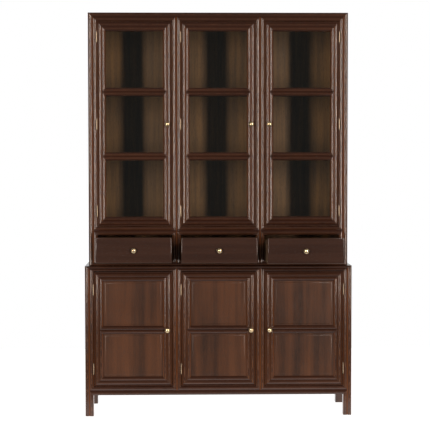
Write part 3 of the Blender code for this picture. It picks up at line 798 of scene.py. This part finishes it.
glazing_bars = [middle_of("shelf_lower_left").z, middle_of("shelf_upper_left").z]
for bay in BAYS:
    made = door_frame(f"glazed_door_{bay}", glazing_bars, f"glass_{bay}", HUTCH_FRONT,
                      GLAZED_RIM, GLASS_DEPTH, f"{bay}_glazed_door", f"glazed_frame_{bay}")
    door_frame(f"panel_door_{bay}", [middle_of(f"panel_knob_{bay}").z], f"door_panel_{bay}",
               BASE_FRONT, PANEL_RIM, PANEL_DEPTH, f"{bay}_panel_door", f"panel_frame_{bay}")
    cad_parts[f"glass_{bay}"].data.materials.clear()
    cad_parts[f"glass_{bay}"].data.materials.append(glass)
print("door frames done,", len(made.data.polygons), "faces in a glazed one")

# %% [markdown]
# ## Panels with a raised field
# A solid panel is thinned round its edges to fit its groove, which leaves a raised field with a
# small step round it. One inset makes the step and a bevel rounds it, so it catches a thin line of
# light. A shadow line painted in the wood would cost nothing, but it would stay put when the lamps
# move. The rounding is also given crown 1, so the panel wood paints a lighter line along it too, a
# painted highlight over the real one. The door's bar crosses in front, so each door shows two
# fields.

# %% Door panels
FIELD_INSET = 0.0085
FIELD_STEP = 0.0016
FIELD_SLOPE = 0.0022


def door_panel(bay):
    """One panel with a raised field above the door's bar and another below it."""
    node = f"door_panel_{bay}"
    low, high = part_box(node)
    middle = middle_of(node)
    bar = middle_of(f"panel_knob_{bay}").z
    reach = REBATE_REACH - FIT
    shape = bmesh.new()
    add_box(shape, (low.x, low.y + FIELD_STEP, low.z), high)
    bmesh.ops.bisect_plane(shape, geom=shape.verts[:] + shape.edges[:] + shape.faces[:], dist=TINY,
                           plane_co=(0.0, 0.0, bar), plane_no=(0.0, 0.0, 1.0))
    fronts = [face for face in shape.faces if face.normal.y < -0.5]
    bmesh.ops.inset_individual(shape, faces=fronts, thickness=DOOR_RING + FIELD_INSET,
                               use_even_offset=True)
    for vert in {vert for face in fronts for vert in face.verts}:
        if abs(vert.co.z - bar) > (high.z - low.z) / 4:
            vert.co.z += math.copysign(DOOR_RING - reach, vert.co.z - bar)
        vert.co.x += math.copysign(DOOR_RING - reach, vert.co.x - middle.x)
    bmesh.ops.inset_individual(shape, faces=fronts, thickness=FIELD_SLOPE, depth=FIELD_STEP,
                               use_even_offset=True)
    # The field's rounding gets crown 1: the panel wood paints a highlight line on it.
    ease(shape, list({edge for face in fronts for edge in face.edges}), EASING)
    return make_piece(f"panel_{bay}", shape, [panel], f"{bay}_panel_door", (node,))


for bay in BAYS:
    piece = door_panel(bay)
print("panels done,", len(piece.data.polygons), "faces each")

# %% [markdown]
# ## Beads behind the glass
# The glass is held from behind by four thin beads with mitred corners, which show when a door
# stands open. Four sticks laid end to end would leave gaps at the corners, so they are one more
# inset ring, turned to face the back.

# %% Glazing beads
BEAD_WIDTH = 0.0075
bead_outer = [(0.0, -0.0003), (0.002, -0.0003)]
bead_inner = [(0.0, -0.0003), (0.0025, -0.0012), (0.0045, -0.0032), (0.0055, -0.0052)]
for bay in BAYS:
    low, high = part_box(f"glass_{bay}")
    thickness = HUTCH_FRONT + FACE - high.y - FIT
    xs = (-high.x, -high.x + BEAD_WIDTH, -low.x - BEAD_WIDTH, -low.x)
    zs = (low.z, low.z + BEAD_WIDTH, high.z - BEAD_WIDTH, high.z)
    shape = moulded_frame(xs, zs, bead_outer, bead_inner, thickness)
    put(shape, y=HUTCH_FRONT + FACE, turn=math.pi)
    make_piece(f"glazing_bead_{bay}", shape, [upright, level], f"{bay}_glazed_door")
print("glazing beads done")

# %% [markdown]
# ## Drawers
# Each drawer is a thick front with rounded edges and, behind it, a thinner box of paler wood: two
# sides, a back, and a bottom let in between them. A block with its middle taken out would do while
# the drawers are shut. These stand open and show their rims, so they are boxes of boards.

# %% Drawers
DRAWER_WALL = 0.012
DRAWER_BOTTOM = 0.008
DRAWER_HEIGHT = 0.105
DRAWER_EASING = 0.0045
SIDE_PLAY = 0.0005
DOOR_GAP = 0.0025
for bay in BAYS:
    node = f"drawer_{bay}"
    body = f"{bay}_drawer"
    low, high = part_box(node)
    behind = low.y + FACE
    floor = low.z
    rim = DRAWER_FLOOR + DRAWER_HEIGHT
    board(f"drawer_front_{bay}", (low.x, low.y, DRAWER_FLOOR + DOOR_GAP), (high.x, behind, high.z),
          drawer_face, body, (node,), easing=DRAWER_EASING)
    inner_low = low.x + DRAWER_WALL + SIDE_PLAY
    inner_high = high.x - DRAWER_WALL - SIDE_PLAY
    for side_name, near, far in (("left", low.x + SIDE_PLAY, inner_low),
                                 ("right", inner_high, high.x - SIDE_PLAY)):
        board(f"drawer_side_{bay}_{side_name}", (near, behind + FIT, floor),
              (far, high.y, rim), drawer_side, body, (node,))
    board(f"drawer_back_{bay}", (inner_low + FIT, high.y - DRAWER_WALL, floor),
          (inner_high - FIT, high.y, rim), drawer_side, body, (node,))
    board(f"drawer_bottom_{bay}", (inner_low + FIT, behind + FIT, floor),
          (inner_high - FIT, high.y - DRAWER_WALL - FIT, floor + DRAWER_BOTTOM),
          drawer_side, body, (node,))
print("drawers done")

# %% [markdown]
# ## Knobs
# The knobs are turned on a lathe, with a flat foot, a waisted neck and a domed head that has a
# small ring cut in it. A sphere on a cylinder would pass from far away, but the ring and the waist
# are what catch the light. A lathe cuts one profile all the way round, and spinning a profile does
# the same.

# %% Knobs
KNOB_STEPS = 40
HEAD_HEIGHT = 0.58
DOME_STEPS = 8
NECK_STEPS = 6
NECK = 0.36
NECK_SWELL = 0.0012
FOOT = 0.0022
MERGE = 2e-5


def turned(profile, steps):
    """A closed shape spun about z from (radius, height) points, from the top down."""
    shape = bmesh.new()
    verts = [shape.verts.new((radius, 0.0, height)) for radius, height in profile]
    edges = [shape.edges.new(pair) for pair in zip(verts, verts[1:])]
    bmesh.ops.spin(shape, geom=verts + edges, cent=(0.0, 0.0, 0.0), axis=(0.0, 0.0, 1.0),
                   angle=math.tau, steps=steps, use_merge=True)
    bmesh.ops.remove_doubles(shape, verts=shape.verts, dist=MERGE)
    crown = shape.verts.layers.float.new("crown")
    widest = max(radius for radius, _ in profile)
    for vert in shape.verts:
        vert[crown] = min(1.0, math.hypot(vert.co.x, vert.co.y) / widest + 0.25)
    return shape


def knob_profile(radius, length):
    """A domed head with a ring, a waist and a flat foot."""
    head = length * HEAD_HEIGHT
    points = [(0.0, length)]
    for step in range(1, DOME_STEPS + 1):
        angle = math.radians(step * 10)
        points.append((radius * math.sin(angle), head + (length - head) * math.cos(angle)))
    points += [(radius, head - 0.0006), (radius * 0.985, head - 0.0016),
               (radius * 0.93, head - 0.0020), (radius * 0.90, head - 0.0030),
               (radius * 0.72, head - 0.0058)]
    neck = radius * NECK
    for step in range(NECK_STEPS + 1):
        angle = math.radians(step * 30)
        height = FOOT + (head - 0.0085) * (1 - step / NECK_STEPS)
        points.append((neck + NECK_SWELL * math.cos(angle) ** 2, height))
    points += [(radius * 0.62, 0.0016), (radius * 0.66, 0.0010), (radius * 0.66, 0.0), (0.0, 0.0)]
    return points


def place_knob(node, body):
    low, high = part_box(node)
    shape = turned(knob_profile((high.z - low.z) / 2, high.y - low.y), KNOB_STEPS)
    centre = (low + high) / 2
    place = Matrix.Translation((centre.x, high.y, centre.z)) @ Matrix.Rotation(math.pi / 2, 4, "X")
    bmesh.ops.transform(shape, matrix=place, verts=shape.verts)
    return make_piece(f"{node}_brass", shape, [knob_brass], body, (node,), TURNED_CRISP)


for bay in BAYS:
    place_knob(f"glazed_knob_{bay}", f"{bay}_glazed_door")
    place_knob(f"panel_knob_{bay}", f"{bay}_panel_door")
    piece = place_knob(f"drawer_knob_{bay}", f"{bay}_drawer")
print("knobs done,", len(piece.data.polygons), "faces each")

# %% [markdown]
# ## Hinges
# A hinge has five knuckles with fine gaps between them and a ball at each end, and two thin
# leaves: one stays with the post, and one swings with the door. Each knuckle could be its own tube
# on a pin. The pin never shows, so one spun profile with a groove at each joint gives the same
# barrel with far fewer faces, and it stays with the post.

# %% Hinges
BARREL_STEPS = 20
KNUCKLES = 5
BARREL_RADIUS = 0.0034
GROOVE_RADIUS = BARREL_RADIUS * 0.8
BALL_RADIUS = BARREL_RADIUS * 0.74
BALL_STEPS = 5
FINIAL = 0.0045
KNUCKLE_GAP = 0.0006
GROOVE_FLOOR = 0.0001
LEAF = 0.0007
LEAF_START = 0.002
LEAF_EASING = 0.0002


def barrel_profile(low_z, high_z):
    """Knuckles and a ball at each end, from the top down."""
    half = (high_z - low_z) / 2
    body_half = half - FINIAL
    knuckle = 2 * body_half / KNUCKLES
    reach = FINIAL / 2
    ball = [(0.0, half)]
    for step in range(1, BALL_STEPS + 1):
        angle = math.radians(step * 30)
        ball.append((BALL_RADIUS * math.sin(angle), half - reach + reach * math.cos(angle)))
    points = ball[:]
    for index in range(KNUCKLES):
        top = body_half - index * knuckle
        points += [(GROOVE_RADIUS, top - GROOVE_FLOOR), (BARREL_RADIUS, top - KNUCKLE_GAP),
                   (BARREL_RADIUS, top - knuckle + KNUCKLE_GAP),
                   (GROOVE_RADIUS, top - knuckle + GROOVE_FLOOR)]
    return points + [(radius, -height) for radius, height in reversed(ball)]


def place_hinge(node, body, side, front, door_node):
    """A barrel and two leaves, on the side of the door that its hinges are on."""
    low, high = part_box(node)
    door_low, door_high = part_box(door_node)
    door_edge = door_low.x if side < 0 else door_high.x
    axis_x = door_edge + side * DOOR_GAP / 2
    axis_y = front - BARREL_RADIUS - FIT
    middle = (low.z + high.z) / 2
    shape = turned(barrel_profile(low.z, high.z), BARREL_STEPS)
    put(shape, x=axis_x, y=axis_y, z=middle)
    make_piece(f"{node}_barrel", shape, [hinge_brass], "cabinet", (node,), TURNED_CRISP)
    half = (high.z - low.z) / 2 - FINIAL
    for leaf_name, near, rides in (("post_leaf", DOOR_GAP - FIT, "cabinet"),
                                   ("door_leaf", FIT + LEAF, body)):
        xs = sorted((door_edge + side * near, door_edge + side * (near - LEAF)))
        board(f"{node}_{leaf_name}", (xs[0], axis_y + LEAF_START, middle - half),
              (xs[1], high.y, middle + half), hinge_brass, rides, (),
              easing=LEAF_EASING)


for bay in BAYS:
    side = HINGE_SIDE[bay]
    for height in ("bottom", "middle", "top"):
        place_hinge(f"glazed_hinge_{bay}_{height}", f"{bay}_glazed_door", side, HUTCH_FRONT,
                    f"glazed_frame_{bay}")
    for height in ("bottom", "top"):
        place_hinge(f"panel_hinge_{bay}_{height}", f"{bay}_panel_door", side, BASE_FRONT,
                    f"panel_frame_{bay}")
print("hinges done")

# %% [markdown]
# ## The floor
# The cabinet stands on a plain white studio floor. A pale material alone would turn grey wherever
# the lamps don't reach, and more lamps would wash over the doors. So the floor glows a little by
# itself, just enough to stay white, and throws some light up under the base.

# %% Floor
FLOOR_NEAR = -0.5
FLOOR_FAR = 2.6
FLOOR_WIDTH = 5.0
FLOOR_GLOW = 0.92
WHITE = colour(1.0, 1.0, 1.0)


def stage_floor():
    finish = Finish(bpy.data.materials.new("pale_floor"))
    place = finish.add("ShaderNodeTexCoord").out("Object")
    clouds = finish.noise(place, 0.7, 3.0, 0.5)
    tint = finish.mix(clouds * 0.3, colour(0.50, 0.50, 0.50), colour(0.46, 0.46, 0.46))
    shader = finish.add("ShaderNodeBsdfPrincipled", None, {
        "Base Color": tint, "Roughness": 0.85, "Emission Color": WHITE,
        "Emission Strength": FLOOR_GLOW,
    })
    shape = bmesh.new()
    made = bmesh.ops.create_grid(shape, x_segments=2, y_segments=2, size=0.5)
    place = Matrix.Translation((0.0, (FLOOR_NEAR + FLOOR_FAR) / 2, 0.0))
    place = place @ Matrix.Diagonal((FLOOR_WIDTH, FLOOR_FAR - FLOOR_NEAR, 1.0, 1.0))
    bmesh.ops.transform(shape, matrix=place, verts=made["verts"])
    mesh = bpy.data.meshes.new("floor")
    shape.to_mesh(mesh)
    shape.free()
    mesh.materials.append(finish.show(shader.out("BSDF")))
    floor = bpy.data.objects.new("floor", mesh)
    bpy.context.scene.collection.objects.link(floor)


stage_floor()
print("floor", FLOOR_WIDTH, "by", FLOOR_FAR - FLOOR_NEAR, "m")

# %% [markdown]
# ## The lamps
# Dark varnish is shaped by what it mirrors. One big lamp overhead would light the whole front
# evenly and leave the mouldings dull. Two tall soft strips, one on each side, draw a bright line
# down every upright bead and leave the level ones quiet, and they reach through the glass to the
# back of each bay. The air round them is white to the eye but dim as a lamp, or it would fill the
# hollows.

# %% Lamps
STRIP_WIDTH = 0.7
STRIP_HEIGHT = 4.6
STRIP_PLACE = Vector((4.7, -8.0, 2.0))
STRIP_AIM = Vector((0.0, 0.2, 1.3))
STRIP_COLOUR = (1.0, 0.865, 0.770)
LEFT_POWER = 450.0
RIGHT_POWER = 550.0


def strip_light(name, side, power):
    light = bpy.data.lights.new(name, "AREA")
    light.shape = "RECTANGLE"
    light.size = STRIP_WIDTH
    light.size_y = STRIP_HEIGHT
    light.energy = power
    light.color = STRIP_COLOUR
    lamp = bpy.data.objects.new(name, light)
    lamp.location = (side * STRIP_PLACE.x, STRIP_PLACE.y, STRIP_PLACE.z)
    aim = STRIP_AIM - lamp.location
    lamp.rotation_euler = aim.to_track_quat("-Z", "Y").to_euler()
    bpy.context.scene.collection.objects.link(lamp)


strip_light("left_strip", -1, LEFT_POWER)
strip_light("right_strip", 1, RIGHT_POWER)
print("lamps:", ", ".join(lamp.name for lamp in bpy.data.lights))

# %% The air round the cabinet
AIR_IN_FRONT = 0.12
AIR_BEHIND = 0.75
TURN_START = 0.10
TURN_END = 0.70


def world_light():
    """White to the eye. As a lamp it is dim before the doors and brighter behind the cabinet."""
    world = bpy.data.worlds.new("studio")
    bpy.context.scene.world = world
    air = Finish(world)
    place = air.add("ShaderNodeTexCoord").out("Generated")
    depth = air.add("ShaderNodeSeparateXYZ", None, {0: place}).out("Y")
    strength = air.add("ShaderNodeMapRange", None, {
        "Value": depth, "From Min": TURN_START, "From Max": TURN_END,
        "To Min": AIR_IN_FRONT, "To Max": AIR_BEHIND,
    }).out("Result")
    lamp = air.add("ShaderNodeBackground", None, {"Color": WHITE, "Strength": strength})
    seen = air.add("ShaderNodeBackground", None, {"Color": WHITE})
    to_the_eye = air.add("ShaderNodeLightPath").out("Is Camera Ray")
    both = air.add("ShaderNodeMixShader", None, {0: to_the_eye, 1: lamp.out(0), 2: seen.out(0)})
    air.show(both.out(0), "ShaderNodeOutputWorld")


world_light()
bpy.context.scene.view_settings.view_transform = "Standard"
print("air", AIR_IN_FRONT, "in front and", AIR_BEHIND, "behind")

# %% [markdown]
# ## The camera
# It stands at eye level, a little left of the middle and far off, with a long lens, as a buyer's
# eye would take in a tall piece of furniture without its lines leaning. A short lens close by
# would show the same width, but the legs would spread and the top would shrink.

# %% Camera
LENS = 114.1
SENSOR = 36.0
CLIP_END = 100.0
CAMERA_PLACE = (-0.2031, -7.7074, 1.4607)
CAMERA_YAW = 0.02404
CAMERA_PITCH = -0.0429
CAMERA_ROLL = 0.00123
camera_data = bpy.data.cameras.new("camera")
camera_data.lens = LENS
camera_data.sensor_width = SENSOR
camera_data.clip_end = CLIP_END
camera = bpy.data.objects.new("camera", camera_data)
turn = Matrix.Rotation(-CAMERA_YAW, 4, "Z") @ Matrix.Rotation(math.pi / 2 + CAMERA_PITCH, 4, "X")
turn = turn @ Matrix.Rotation(-CAMERA_ROLL, 4, "Z")
camera.matrix_world = Matrix.Translation(CAMERA_PLACE) @ turn
bpy.context.scene.collection.objects.link(camera)
bpy.context.scene.camera = camera
print("camera at", CAMERA_PLACE)
